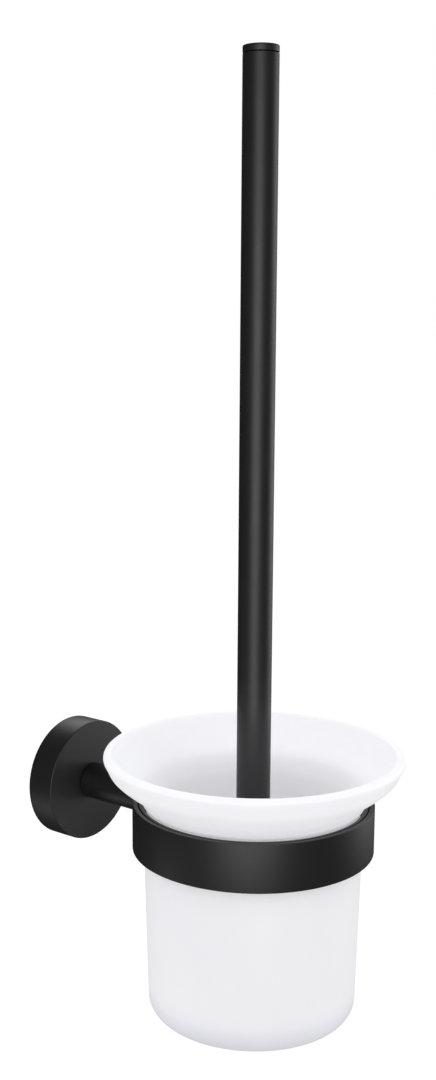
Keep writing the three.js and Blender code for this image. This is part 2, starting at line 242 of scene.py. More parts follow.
# Masks for the cup's painted glow: the neck's outside and the inside of the flare's bowl
NECK_MIDDLE = (42.4 * MM, 43.4 * MM)     # radius between the neck's inside and its outside
FLARE_MIDDLE = (31.4 * MM, 32.4 * MM)    # radius less height, between the flare's inside and its outside
NECK_GLOW_RISE = (-6 * MM, 10 * MM)           # heights over which the neck's painted glow comes in
NECK_GLOW_FALL = (11 * MM, 19 * MM)
BOWL_GLOW_RISE = (14 * MM, 19 * MM)
FOOT_SHADE_SHARE = 0.14                        # of the cup's height, over which the foot's painted shade fades out


def frosted_glass(name, colour, low, high):
    """Acid-frosted opal glass: light spreads inside it and the etched skin is finely pitted. The whole cup
    carries a painted glow (emission) for light let through the glass where the lamps leave it in shade,
    strongest in the flare's bowl and on the neck's outside. Painted shade darkens the foot, where less light
    reaches from below,
    partly also the look of its thicker base: outside is 1 where a point lies far from the axis for its
    height."""
    # The emission is a painted glow: the glass is no lamp
    glass = Finish(name, Subsurface_Weight=1.0, Subsurface_Scale=4 * MM, Subsurface_Radius=(1.0, 1.0, 1.0),
                   Specular_IOR_Level=0.2, IOR=1.5, Emission_Strength=0.4)
    etch = glass.noise(0.35 * MM, 3)
    cloud = glass.noise(30 * MM, 2)
    height = glass.height()
    # foot: painted shade low on the cup, where less light reaches from below, partly also the look of its
    # thicker base
    foot = 1 - height.between(low, low + FOOT_SHADE_SHARE * (high - low))
    radius = glass.from_axis(CUP_AXIS)
    outside = radius.between(*NECK_MIDDLE) * (radius - height).between(*FLARE_MIDDLE)
    # neck and bowl: where the painted glow is brighter, on the neck's outside and inside the flare's bowl
    neck = outside * height.between(*NECK_GLOW_RISE) * (1 - height.between(*NECK_GLOW_FALL))
    bowl = (1 - outside) * height.between(*BOWL_GLOW_RISE)
    # depth: the foot's painted shade mixed with a random cloud of tone
    depth = foot * 0.8 + cloud * 0.2
    # painted glow of the whole wall, dimmer at the foot as painted shade
    painted_wall_glow = glass.blend(depth, shade(colour, 0.44), shade(colour, 0.12))
    painted_bowl_glow = glass.blend(bowl, painted_wall_glow, shade(colour, 0.64))
    return glass.feed(
        # Base colour: darker at the foot as painted shade, partly the thicker base, with a random cloud of
        # tone
        Base_Color=glass.blend(depth, shade(colour, 1.03), shade(colour, 0.8)),
        # Emission: painted glow, brighter on the neck's outside and in the bowl
        Emission_Color=glass.blend(neck, painted_bowl_glow, shade(colour, 0.78)),
        Roughness=0.48 + etch * 0.12,
        Normal=glass.bump(etch, 0.22, 0.03 * MM))


def die_cast_zinc(name, colour):
    """Bare casting: grey blooms and a sandy skin."""
    zinc = Finish(name, Metallic=0.9)
    bloom = zinc.noise(6 * MM, 4)
    sand = zinc.noise(0.5 * MM, 3)
    return zinc.feed(
        Base_Color=zinc.blend(bloom, shade(colour, 0.75), shade(colour, 1.15)),
        Roughness=0.36 + bloom * 0.2,
        Normal=zinc.bump(sand, 0.3, 0.05 * MM))


def turned_steel(name, colour):
    """Turned stainless steel: fine tool lines and a faint tarnish."""
    steel = Finish(name, Metallic=1.0)
    lines = steel.noise(0.16 * MM, 2, stretch=(12, 1, 12))
    tarnish = steel.noise(3 * MM, 3)
    return steel.feed(
        Base_Color=steel.blend(tarnish, shade(colour, 0.85), shade(colour, 1.1)),
        Roughness=0.22 + lines * 0.12 + tarnish * 0.08,
        Normal=steel.bump(lines, 0.18, 0.02 * MM))


def moulded_plastic(name, colour, roughness):
    """Moulded plastic with a spark-eroded texture and faint flow marks."""
    plastic = Finish(name, Specular_IOR_Level=0.5)
    texture = plastic.noise(0.3 * MM, 3)
    flow = plastic.noise(14 * MM, 2, stretch=(1, 1, 3))
    return plastic.feed(
        Base_Color=plastic.blend(flow, shade(colour, 0.92), shade(colour, 1.06)),
        Roughness=roughness + texture * 0.12,
        Normal=plastic.bump(texture, 0.3, 0.03 * MM))


def nylon_filament(name, colour):
    """Nylon filaments: whiter and greyer ones mixed, with a soft gloss and a faint painted glow (emission)
    that lifts the shade between them.
    """
    # The faint emission is a painted glow that lifts the shade between the filaments
    nylon = Finish(name, Subsurface_Weight=0.35, Subsurface_Scale=2 * MM, Specular_IOR_Level=0.5,
                   Emission_Color=as_colour(shade(colour, 0.95)), Emission_Strength=0.08)
    strand = nylon.noise(1.1 * MM, 2, stretch=(1, 1, 0.5))
    return nylon.feed(
        Base_Color=nylon.blend(strand, shade(colour, 0.84), shade(colour, 1.08)),
        Roughness=0.3 + strand * 0.2)


def pale_floor(name, colour):
    floor = Finish(name, Specular_IOR_Level=0.2, Emission_Color=(1, 1, 1, 1), Emission_Strength=0.35)
    cloud = floor.noise(0.5, 2)
    return floor.feed(
        Base_Color=floor.blend(cloud, shade(colour, 0.99), shade(colour, 1.01)),
        Roughness=0.8 + cloud * 0.1)


# ---------------------------------------------------------------- outlines

def rounded(corners, steps=6):
    """An outline through (radius, height, round) corners. Each corner with a round becomes a circular arc
    that touches both of its sides: its ends lie round / tan(half the corner's angle) from the corner."""
    points = np.array([c[:2] for c in corners], float)
    outline = []
    last = len(corners) - 1
    for i, size in enumerate(corner[2] for corner in corners):
        here = points[i]
        if size <= 0 or i in (0, last):
            outline.append(here)
            continue
        back = points[i - 1] - here
        ahead = points[i + 1] - here
        back = back / np.linalg.norm(back)
        ahead = ahead / np.linalg.norm(ahead)
        half = math.acos(float(np.clip(back @ ahead, -1, 1))) / 2
        bisector = (back + ahead) / np.linalg.norm(back + ahead)
        centre = here + bisector * size / math.sin(half)
        first = here + back * size / math.tan(half) - centre
        final = here + ahead * size / math.tan(half) - centre
        start = math.atan2(first[1], first[0])
        sweep = (math.atan2(final[1], final[0]) - start + math.pi) % FULL_TURN - math.pi
        angles = start + sweep * np.linspace(0, 1, steps + 1)
        outline.extend(centre + size * np.column_stack([np.cos(angles), np.sin(angles)]))
    return np.array(outline)


def arc(radius, height, size, start, end, steps):
    """Points on a circle of the given size round (radius, height), from start to end degrees."""
    angles = np.radians(np.linspace(start, end, steps + 1))
    return np.column_stack([radius + size * np.cos(angles), height + size * np.sin(angles)])


def spline(points, steps):
    """A smooth curve through the points: on each span, the Catmull-Rom cubic of the four points round it."""
    p = np.array(points, float)
    t = np.linspace(0, len(p) - 1, steps + 1)
    i = np.minimum(t.astype(int), len(p) - 2)
    w = (t - i)[:, None]
    before, here = p[np.maximum(i - 1, 0)], p[i]
    ahead, beyond = p[i + 1], p[np.minimum(i + 2, len(p) - 1)]
    leaving, arriving = (ahead - before) / 2, (beyond - here) / 2
    return ((2 * here - 2 * ahead + leaving + arriving) * w ** 3
            + (3 * ahead - 3 * here - 2 * leaving - arriving) * w ** 2 + leaving * w + here)


# ---------------------------------------------------------------- meshes

def mesh_object(name, points, faces, finish, crease=28):
    """An object at the origin whose mesh holds the points, smooth but for edges sharper than the crease."""
    mesh = bpy.data.meshes.new(name)
    mesh.from_pydata(points.tolist(), [], faces)
    mesh.validate()
    mesh.polygons.foreach_set("use_smooth", np.ones(len(mesh.polygons), bool))
    mesh.set_sharp_from_angle(angle=math.radians(crease))
    made = bpy.data.objects.new(name, mesh)
    bpy.context.scene.collection.objects.link(made)
    mesh.materials.append(finish)
    return made


def grid_faces(rows):
    """Quads between neighbouring rows of vertex numbers, closed round. A doubled corner leaves a triangle."""
    after = np.roll(rows, -1, axis=1)
    quads = np.stack([rows[:-1], after[:-1], after[1:], rows[1:]], axis=-1).reshape(-1, 4)
    low = quads[:, 0] == quads[:, 1]
    high = quads[:, 2] == quads[:, 3]
    faces = quads[~low & ~high].tolist()
    return faces + quads[low][:, [0, 2, 3]].tolist() + quads[high][:, [0, 1, 2]].tolist()


def turned(name, outline, axis, centre, finish, steps=160, crease=28):
    """A surface of revolution. A point of the outline at (r, h) becomes the circle
    (r cos a, r sin a, h) about Z, or (r cos a, h, -r sin a) about Y, moved to the centre.
    A point on the axis is one vertex, and an outline that ends where it starts is closed."""
    outline = np.asarray(outline, float)
    loop = np.allclose(outline[0], outline[-1])
    if loop:
        outline = outline[:-1]
    angles = FULL_TURN * np.arange(steps) / steps
    r, h = outline[:, :1], outline[:, 1:]
    across, up, along = r * np.cos(angles), r * np.sin(angles), h + 0 * angles
    parts = (across, up, along) if axis == "Z" else (across, along, -up)
    points = np.stack(parts, axis=-1).reshape(-1, 3) + np.array(centre)
    rows = np.arange(len(points)).reshape(len(outline), steps)
    rows[outline[:, 0] < NO_RADIUS] = rows[outline[:, 0] < NO_RADIUS][:, :1]
    if loop:
        rows = np.vstack([rows, rows[:1]])
    used, numbers = np.unique(rows, return_inverse=True)
    made = mesh_object(name, points[used], grid_faces(numbers.reshape(rows.shape)), finish, crease)
    return face_outwards(made, crease)


def face_outwards(made, crease):
    """Turns every face outwards: the mesh's signed volume, the sum of each face's area vector times its
    place, is positive when they already are."""
    mesh = made.data
    centres = np.empty(len(mesh.polygons) * 3)
    normals = np.empty(len(mesh.polygons) * 3)
    areas = np.empty(len(mesh.polygons))
    mesh.polygons.foreach_get("center", centres)
    mesh.polygons.foreach_get("normal", normals)
    mesh.polygons.foreach_get("area", areas)
    if (centres * normals).reshape(-1, 3).sum(1) @ areas < 0:
        mesh.flip_normals()
        mesh.set_sharp_from_angle(angle=math.radians(crease))
    return made


def drilled(made, cutters, crease=28):
    """Cuts the closed cutters out of a closed piece, then removes them."""
    for cutter in cutters:
        cut = made.modifiers.new("drill", "BOOLEAN")
        cut.operation = "DIFFERENCE"
        cut.solver = "EXACT"
        cut.object = cutter
    view = bpy.context.evaluated_depsgraph_get()
    mesh = bpy.data.meshes.new_from_object(made.evaluated_get(view))
    made.modifiers.clear()
    made.data = mesh
    mesh.polygons.foreach_set("use_smooth", np.ones(len(mesh.polygons), bool))
    mesh.set_sharp_from_angle(angle=math.radians(crease))
    for cutter in cutters:
        bpy.data.objects.remove(cutter)
    return made


def rod_cutter(radius, low, high, axis, centre, steps=48):
    """A plain rod for drilling: a circle swept from low to high."""
    outline = [(0, low), (radius, low), (radius, high), (0, high)]
    return turned("cutter", outline, axis, centre, None, steps)


def threaded(name, outline, thread, axis, centre, finish, pitch, steps=48):
    """A turned piece whose shank carries a thread. Between the thread's two heights the radius drops by
    depth times a triangle wave of (height / pitch - turn), eased in at both ends."""
    low, high, depth = thread
    rows = int((high - low) / pitch * 8)
    heights = np.linspace(low, high, rows)
    outline = np.asarray(outline, float)
    shank = outline[np.isclose(outline[:, 1], low) | np.isclose(outline[:, 1], high)][:, 0].max()
    before = outline[: np.argmax(np.isclose(outline[:, 1], low)) + 1]
    after = outline[np.argmax(np.isclose(outline[:, 1], high)):]
    profile = np.vstack([before, np.column_stack([np.full(rows, shank), heights])[1:-1], after])
    made = turned(name, profile, axis, centre, finish, steps, crease=40)
    mesh = made.data
    points = np.empty(len(mesh.vertices) * 3)
    mesh.vertices.foreach_get("co", points)
    points = points.reshape(-1, 3) - np.array(centre)
    a, b, h = (0, 1, 2) if axis == "Z" else (0, 2, 1)
    radius = np.hypot(points[:, a], points[:, b])
    turn = np.arctan2(points[:, b], points[:, a]) / FULL_TURN
    phase = (points[:, h] / pitch - turn) % 1
    ease = np.clip(np.minimum(points[:, h] - low, high - points[:, h]) / pitch, 0, 1)
    on_shank = np.isclose(radius, shank)
    drop = depth * np.abs(2 * phase - 1) * ease * on_shank
    factor = (1 - drop / np.maximum(radius, NO_RADIUS))[:, None]
    points[:, [a, b]] *= factor
    mesh.vertices.foreach_set("co", (points + np.array(centre)).ravel())
    mesh.update()
    return made


def socket_screw(name, outline, thread, axis, centre, steel, pitch, socket):
    """A threaded piece with a six-sided socket, given as its width across corners and its two ends."""
    width, low, high = socket
    screw = threaded(name, outline, thread, axis, centre, steel, pitch)
    return drilled(screw, [rod_cutter(width / 2, low, high, axis, centre, steps=6)])


def settle(made, body, slot, *nodes):
    """The finished piece rides on its body and stands for its CAD nodes, which it hides. The slot is not
    used.
    """
    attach(made, body)
    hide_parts(*nodes)
    return made


# ---------------------------------------------------------------- places, all from the frame

def middle(node):
    low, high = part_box(node)
    return (low + high) / 2


def reach_of(node, axis):
    """Lowest and highest place of a node along X, Y or Z."""
    low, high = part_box(node)
    i = "XYZ".index(axis)
    return low[i], high[i]


def radius_of(node):
    low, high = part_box(node)
    return (high.x - low.x) / 2


CUP_AXIS = (middle("ring").x, middle("ring").y, 0)
WALL_AXIS = (middle("rosette").x, 0, middle("rosette").z)


# ---------------------------------------------------------------- pieces on the wall

PAST = MM                      # how far a cutter runs beyond the face that it cuts
TINY_ROUND = 0.15 * MM
SMALL_ROUND = 0.3 * MM
ROSETTE_WALL = 3.4 * MM
ROSETTE_FACE = 3 * MM
ROSETTE_BORE = 3.4 * MM
GRUB_CLEARANCE = 0.3 * MM
PLATE_RECESS = 8 * MM          # radius of the recess for the arm screw's head
PLATE_FLOOR = 2.2 * MM
GROOVE_DEPTH = 1.4 * MM
WALL_SCREW_PLACE = 15.5 * MM   # from the middle of the plate
WALL_SCREW_HOLE = 2.3 * MM
WALL_SCREW_SINK = 5.6 * MM
GRUB_CONE = 1.65 * MM
GRUB_TIP = 0.25 * MM
GRUB_BEVEL = 0.2 * MM
GRUB_PITCH = 0.7 * MM
GRUB_THREAD = 0.3 * MM
GRUB_SOCKET = (2.3 * MM, 1.6 * MM)      # each socket: width across its corners, depth


class BRUSHHOLDER_OT_wall_fixing(bpy.types.Operator):
    """Rosette, the plate under it, and the grub screw that locks them"""
    bl_idname = "brush_holder.wall_fixing"
    bl_label = "Rosette and wall plate"

    def execute(self, context):
        sizes, colours = settings(context)
        self.rosette(sizes, powder_coat("rosette_coat", colours.powder))
        self.plate(die_cast_zinc("plate_zinc", colours.zinc))
        self.grub(turned_steel("grub_steel", colours.steel))
        return {"FINISHED"}

    def rosette(self, sizes, coat):
        """Cover turned about the arm's axis: front face, round edge, side wall and the hollow behind."""
        front, back = reach_of("rosette", "Y")
        outer, bore, face = radius_of("rosette"), ROSETTE_BORE, front + ROSETTE_FACE
        inner, edge = outer - ROSETTE_WALL, sizes.edge_round
        outline = rounded([
            (bore, front, 0), (outer, front, edge), (outer, back, edge / 2), (inner, back, edge / 2),
            (inner, face, 1 * MM), (bore, face, 0.2 * MM), (bore, front, 0)])
        cover = turned("rosette_cover", outline, "Y", WALL_AXIS, coat, steps=224)
        grub = middle("grub_screw")
        hole = rod_cutter(
            radius_of("grub_screw") + GRUB_CLEARANCE, -outer - PAST, -inner + PAST, "Z", (grub.x, grub.y, 0))
        settle(drilled(cover, [hole]), "holder", "black_powder", "rosette")

    def plate(self, zinc):
        """Disc with a recess for the screw head, a V-groove in the rim and two countersunk holes."""
        front, back = reach_of("wall_plate", "Y")
        outer, floor = radius_of("wall_plate"), back - PLATE_FLOOR
        groove, depth = middle("grub_screw").y, GROOVE_DEPTH
        outline = rounded([
            (0, floor, 0), (PLATE_RECESS, floor, 0.5 * MM), (PLATE_RECESS, front, 0.4 * MM),
            (outer, front, SMALL_ROUND), (outer, groove - depth, TINY_ROUND),
            (outer - depth, groove, 0.2 * MM), (outer, groove + depth, TINY_ROUND),
            (outer, back, SMALL_ROUND), (0, back, 0)])
        disc = turned("mounting_plate", outline, "Y", WALL_AXIS, zinc, steps=160)
        wide, hole, end = WALL_SCREW_SINK, WALL_SCREW_HOLE, back + PAST
        sink = [(0, front - PAST), (wide, front - PAST), (hole, front + hole), (hole, end), (0, end)]
        places = ((side * WALL_SCREW_PLACE, 0, 0) for side in (-1, 1))
        holes = [turned("cutter", sink, "Y", place, None, 48) for place in places]
        settle(drilled(disc, holes), "holder", "zinc_casting", "wall_plate")

    def grub(self, steel):
        """Headless screw: a hex socket below, a thread, and a cone that points up into the groove."""
        low, high = reach_of("grub_screw", "Z")
        radius, cone = radius_of("grub_screw"), high - GRUB_CONE
        outline = [(0, low), (radius - GRUB_BEVEL, low), (radius, low + GRUB_BEVEL), (radius, cone),
                   (GRUB_TIP, high), (0, high)]
        centre = (middle("grub_screw").x, middle("grub_screw").y, 0)
        thread = (low + GRUB_BEVEL, cone, GRUB_THREAD)
        width, depth = GRUB_SOCKET
        screw = socket_screw("locking_grub", outline, thread, "Z", centre, steel, GRUB_PITCH,
                             (width, low - PAST, low + depth))
        settle(screw, "holder", "bright_steel", "grub_screw")


ARM_BORE = 3.1 * MM
ARM_BORE_DEPTH = 16 * MM
ARM_OVERLAP = 2 * MM           # length of bar that the saddle cut takes away
SADDLE_GAP = 0.3 * MM
SADDLE_HEIGHT = 20 * MM
RING_SCREW_BORE = 0.95 * MM    # how much narrower the front bore is than the ring screw's head
ARM_SCREW_SHANK = 2.8 * MM
ARM_SCREW_HEAD = 2.4 * MM
ARM_SCREW_BEVEL = 0.6 * MM
ARM_SCREW_HEAD_BEVEL = 0.4 * MM
SCREW_THREAD = 0.45 * MM       # depth of the thread of the arm screw and the stud
ARM_SOCKET = (4.6 * MM, 1.5 * MM)


class BRUSHHOLDER_OT_arm(bpy.types.Operator):
    """Round arm with its saddle end, and the screw and washer that hold it to the rosette"""
    bl_idname = "brush_holder.arm"
    bl_label = "Arm and its screw"

    def execute(self, context):
        sizes, colours = settings(context)
        steel = turned_steel("arm_steel", colours.steel)
        self.bar(sizes, powder_coat("arm_coat", colours.powder))
        self.screw(sizes, steel)
        self.washer(steel)
        return {"FINISHED"}

    def bar(self, sizes, coat):
        """Rod turned about the wall axis, then cut at its end by the ring's own cylinder, and bored."""
        low, high = reach_of("arm", "Y")
        radius, start = radius_of("arm"), low - ARM_OVERLAP
        outline = rounded([(0, start, 0), (radius, start, 0), (radius, high, sizes.edge_round), (0, high, 0)])
        bar = turned("round_arm", outline, "Y", WALL_AXIS, coat, steps=96)
        saddle_radius = radius_of("ring") + SADDLE_GAP
        saddle = rod_cutter(saddle_radius, -SADDLE_HEIGHT, SADDLE_HEIGHT, "Z", CUP_AXIS, steps=320)
        rear = rod_cutter(ARM_BORE, high - ARM_BORE_DEPTH, high + PAST, "Y", WALL_AXIS)
        tip = reach_of("ring_screw", "Y")[1] + PAST
        front = rod_cutter(radius_of("ring_screw") - RING_SCREW_BORE, start, tip, "Y", WALL_AXIS)
        settle(drilled(bar, [saddle, rear, front]), "holder", "black_powder", "arm")

    def screw(self, sizes, steel):
        """Cap screw from inside the rosette, with a hex socket in its head."""
        low, high = reach_of("arm_screw", "Y")
        head, shank, seat = radius_of("arm_screw"), ARM_SCREW_SHANK, high - ARM_SCREW_HEAD
        outline = [(0, low), (shank - ARM_SCREW_BEVEL, low), (shank, low + ARM_SCREW_BEVEL), (shank, seat),
                   (head, seat), (head, high - ARM_SCREW_HEAD_BEVEL), (head - ARM_SCREW_HEAD_BEVEL, high),
                   (0, high)]
        thread = (low + ARM_SCREW_BEVEL, seat, SCREW_THREAD)
        width, depth = ARM_SOCKET
        screw = socket_screw("arm_cap_screw", outline, thread, "Y", WALL_AXIS, steel, sizes.thread_pitch,
                             (width, high - depth, high + PAST))
        settle(screw, "holder", "bright_steel", "arm_screw")

    def washer(self, steel):
        low, high = reach_of("arm_washer", "Y")
        outer, inner, edge = radius_of("arm_washer"), ARM_BORE, TINY_ROUND
        outline = rounded([
            (inner, low, 0), (outer, low, edge), (outer, high, edge), (inner, high, edge), (inner, low, 0)])
        washer = turned("plain_washer", outline, "Y", WALL_AXIS, steel, steps=96)
        settle(washer, "holder", "bright_steel", "arm_washer")


# ---------------------------------------------------------------- ring and cup

RING_WALL = 2.25 * MM
RING_BEVEL_ROUND = 0.12 * MM
RING_HOLE = 2.8 * MM
RING_SINK = 3 * MM             # depth of the countersink, and how much wider than the hole it starts
RING_HOLE_EDGE = 0.6 * MM      # of the ring's wall that the narrow part of the hole goes through
LINER_WALL = 1.9 * MM
LINER_SEAT = 0.8 * MM
LINER_ROUND = 0.2 * MM
RING_SCREW_SHANK = 2.4 * MM
RING_SCREW_BEVEL = 0.5 * MM
RING_SCREW_THREAD = 0.4 * MM
RING_SOCKET = (2.9 * MM, 1.2 * MM)


class BRUSHHOLDER_OT_ring(bpy.types.Operator):
    """Flat band that carries the cup, its plastic liner, and the countersunk screw into the arm"""
    bl_idname = "brush_holder.ring"
    bl_label = "Ring and liner"

    def execute(self, context):
        sizes, colours = settings(context)
        self.band(sizes, powder_coat("ring_coat", colours.powder))
        self.liner(moulded_plastic("liner_plastic", colours.black_plastic, 0.45))
        self.screw(sizes, turned_steel("ring_steel", colours.steel))
        return {"FINISHED"}

    def band(self, sizes, coat):
        """Band turned about the cup's axis, with round outer edges and a bevel inside the top edge."""
        low, high = reach_of("ring", "Z")
        outer, edge, bevel = radius_of("ring"), sizes.edge_round, sizes.ring_inner_bevel
        inner = outer - RING_WALL
        outline = rounded([
            (inner, 0, 0), (inner, low, edge / 2), (outer, low, edge), (outer, high, edge * 0.7),
            (inner + bevel, high, RING_BEVEL_ROUND), (inner, high - bevel, RING_BEVEL_ROUND), (inner, 0, 0)])
        band = turned("flat_ring", outline, "Z", CUP_AXIS, coat, steps=320)
        narrow = CUP_AXIS[1] + outer - RING_HOLE_EDGE
        start, end = narrow - RING_SINK, narrow + RING_SINK
        sink = [(0, start), (RING_HOLE + RING_SINK, start), (RING_HOLE, narrow), (RING_HOLE, end), (0, end)]
        cutter = turned("cutter", sink, "Y", WALL_AXIS, None, 48)
        settle(drilled(band, [cutter]), "holder", "black_powder", "ring")

    def liner(self, plastic):
        """Thin plastic ring inside the band, with a bevelled seat for the cup's flare."""
        low, high = reach_of("seat_ring", "Z")
        outer, seat = radius_of("seat_ring"), LINER_SEAT
        inner = outer - LINER_WALL
        outline = rounded([
            (inner, 0, 0), (inner, low, LINER_ROUND), (outer, low, LINER_ROUND), (outer, high, LINER_ROUND),
            (inner + seat, high, TINY_ROUND), (inner, high - seat, TINY_ROUND), (inner, 0, 0)])
        liner = turned("seat_liner", outline, "Z", CUP_AXIS, plastic, steps=256)
        settle(liner, "holder", "black_plastic", "seat_ring")

    def screw(self, sizes, steel):
        """Countersunk screw from inside the ring, with a hex socket in its flat head."""
        low, high = reach_of("ring_screw", "Y")
        head, shank, bevel = radius_of("ring_screw"), RING_SCREW_SHANK, RING_SCREW_BEVEL
        narrow = low + head - shank
        outline = [(0, low), (head, low), (shank, narrow), (shank, high - bevel), (shank - bevel, high),
                   (0, high)]
        thread = (narrow, high - bevel, RING_SCREW_THREAD)
        width, depth = RING_SOCKET
        screw = socket_screw("ring_flat_screw", outline, thread, "Y", WALL_AXIS, steel, sizes.thread_pitch,
                             (width, low - PAST, low + depth))
        settle(screw, "holder", "bright_steel", "ring_screw")


CUP_FOOT = 43.5 * MM           # radius just above the bottom corner
CUP_BODY = 45 * MM             # radius just under the ring
CUP_NECK = 44.1 * MM
CUP_CORNER = 7.6 * MM
CUP_INNER_CORNER = 5 * MM
BODY_TOP = -16                 # millimetres, as in the two lists below
FLARE_OUTSIDE = [              # millimetres from the axis, and up: from the neck to the lip
    (44.6, 9.3), (45.9, 10.5), (46.4, 12.2), (47.7, 14), (50.5, 16.2), (54.7, 19.3), (58.8, 23), (60.7, 26.6)]
FLARE_INSIDE = [               # from the lip down to the neck
    (56.5, 27.2), (54.8, 24.2), (51.9, 20.7), (48.2, 17.7), (44.8, 15.2), (42.4, 12)]


class BRUSHHOLDER_OT_cup(bpy.types.Operator):
    """Frosted glass cup: thick base, round foot corner, slightly tapered body, neck, flare and round lip"""
    bl_idname = "brush_holder.cup"
    bl_label = "Glass cup"

    def execute(self, context):
        sizes, colours = settings(context)
        low, high = reach_of("glass_cup", "Z")
        finish = frosted_glass("cup_glass", colours.glass, low, high)
        outline = self.outline(sizes, low, high)
        cup = turned("frosted_cup", outline, "Z", CUP_AXIS, finish, steps=288, crease=60)
        settle(cup, "cup", "frosted_glass", "glass_cup")
        return {"FINISHED"}

    def outline(self, sizes, low, high):
        """The outside goes up from the base and the inside comes down, with the lip's arc between them."""
        lip, wall, corner, inner_corner = sizes.lip_round, sizes.glass_wall, CUP_CORNER, CUP_INNER_CORNER
        lip_radius, lip_height = radius_of("glass_cup") - lip, high - lip
        outside = spline([
            (CUP_BODY, BODY_TOP * MM), (CUP_NECK + 0.2 * MM, -2 * MM), (CUP_NECK, 6 * MM),
            *np.multiply(FLARE_OUTSIDE, MM), (lip_radius + 2.2 * MM, lip_height - 0.9 * MM)], 66)
        inside = spline([
            *np.multiply(FLARE_INSIDE, MM), (CUP_NECK - wall, 8 * MM), (CUP_NECK - wall, 0),
            (CUP_BODY - wall, BODY_TOP * MM)], 48)
        floor = low + sizes.glass_base
        return np.vstack([
            [(0, low)], arc(CUP_FOOT - corner, low + corner, corner, -90, 0, 14), outside,
            arc(lip_radius, lip_height, lip, 0, 170, 16), inside,
            arc(CUP_FOOT - wall - inner_corner, floor + inner_corner, inner_corner, 0, -90, 10),
            [(0, floor)]])


# ---------------------------------------------------------------- brush

HANDLE_WALL = 1.1 * MM
HANDLE_EDGE = 0.25 * MM
CAP_HEIGHT = 2.6 * MM
SPIGOT_STEP = 1.4 * MM         # how much narrower than the handle the cap's and the insert's spigots are
STUD_BORE = 3.1 * MM
FLANGE_HEIGHT = 3 * MM


class BRUSHHOLDER_OT_handle(bpy.types.Operator):
    """Handle tube, the cap in its top and the threaded insert in its lower end"""
    bl_idname = "brush_holder.handle"
    bl_label = "Brush handle"

    def execute(self, context):
        sizes, colours = settings(context)
        coat = powder_coat("handle_coat", colours.powder)
        self.tube(coat)
        self.cap(sizes, coat)
        self.insert(moulded_plastic("insert_plastic", colours.black_plastic, 0.4))
        return {"FINISHED"}

    def tube(self, coat):
        low, high = reach_of("handle_tube", "Z")
        outer, edge = radius_of("handle_tube"), HANDLE_EDGE
        inner = outer - HANDLE_WALL
        outline = rounded([
            (inner, low, 0), (outer, low, edge), (outer, high, edge), (inner, high, edge), (inner, low, 0)])
        tube = turned("handle_rod", outline, "Z", CUP_AXIS, coat, steps=96)
        settle(tube, "brush_handle", "black_powder", "handle_tube")

    def cap(self, sizes, coat):
        """Short cap with a spigot that goes down into the tube."""
        low, high = reach_of("handle_cap", "Z")
        outer = radius_of("handle_cap")
        under, spigot = high - CAP_HEIGHT, outer - SPIGOT_STEP
        outline = rounded([
            (0, low, 0), (spigot, low, SMALL_ROUND), (spigot, under, 0), (outer, under, 0.2 * MM),
            (outer, high, sizes.edge_round), (0, high, 0)])
        cap = turned("handle_end_cap", outline, "Z", CUP_AXIS, coat, steps=96)
        settle(cap, "brush_handle", "black_powder", "handle_cap")

    def insert(self, plastic):
        """Plug with a flange under the tube and a blind hole for the stud."""
        low, high = reach_of("handle_insert", "Z")
        outer, bore, bore_top = radius_of("handle_insert"), STUD_BORE, reach_of("brush_stud", "Z")[1] + MM
        flange, spigot = low + FLANGE_HEIGHT, outer - SPIGOT_STEP
        outline = rounded([
            (0, bore_top, 0), (bore, bore_top, 0), (bore, low, SMALL_ROUND), (outer, low, 0.4 * MM),
            (outer, flange, TINY_ROUND), (spigot, flange, 0), (spigot, high, SMALL_ROUND), (0, high, 0)])
        insert = turned("threaded_insert", outline, "Z", CUP_AXIS, plastic, steps=96)
        settle(insert, "brush_handle", "black_plastic", "handle_insert")


STUD_TAPER = 0.6 * MM
CORE_SHANK = 6.5 * MM
CORE_COLLAR = 4 * MM
CORE_ROUND = 0.8 * MM
COLLAR_ROUND = 0.4 * MM
TUFT_ROOT = 6.2 * MM           # radius at which the side tufts start
TUFT_HOLE = 1.1 * MM
TUFT_SPREAD = 0.22             # radians that the outer filaments of a tuft turn away from its middle
TUFT_FAN = 0.13                # rise of those filaments per length
TUFT_LEAN = 0.1                # rise of the top row of tufts per length
TUFT_SHOULDER = 5 * MM
END_TUFTS = 46
END_ROOT = 5.8 * MM
STRAND_RINGS = 4
STRAND_SIDES = 3


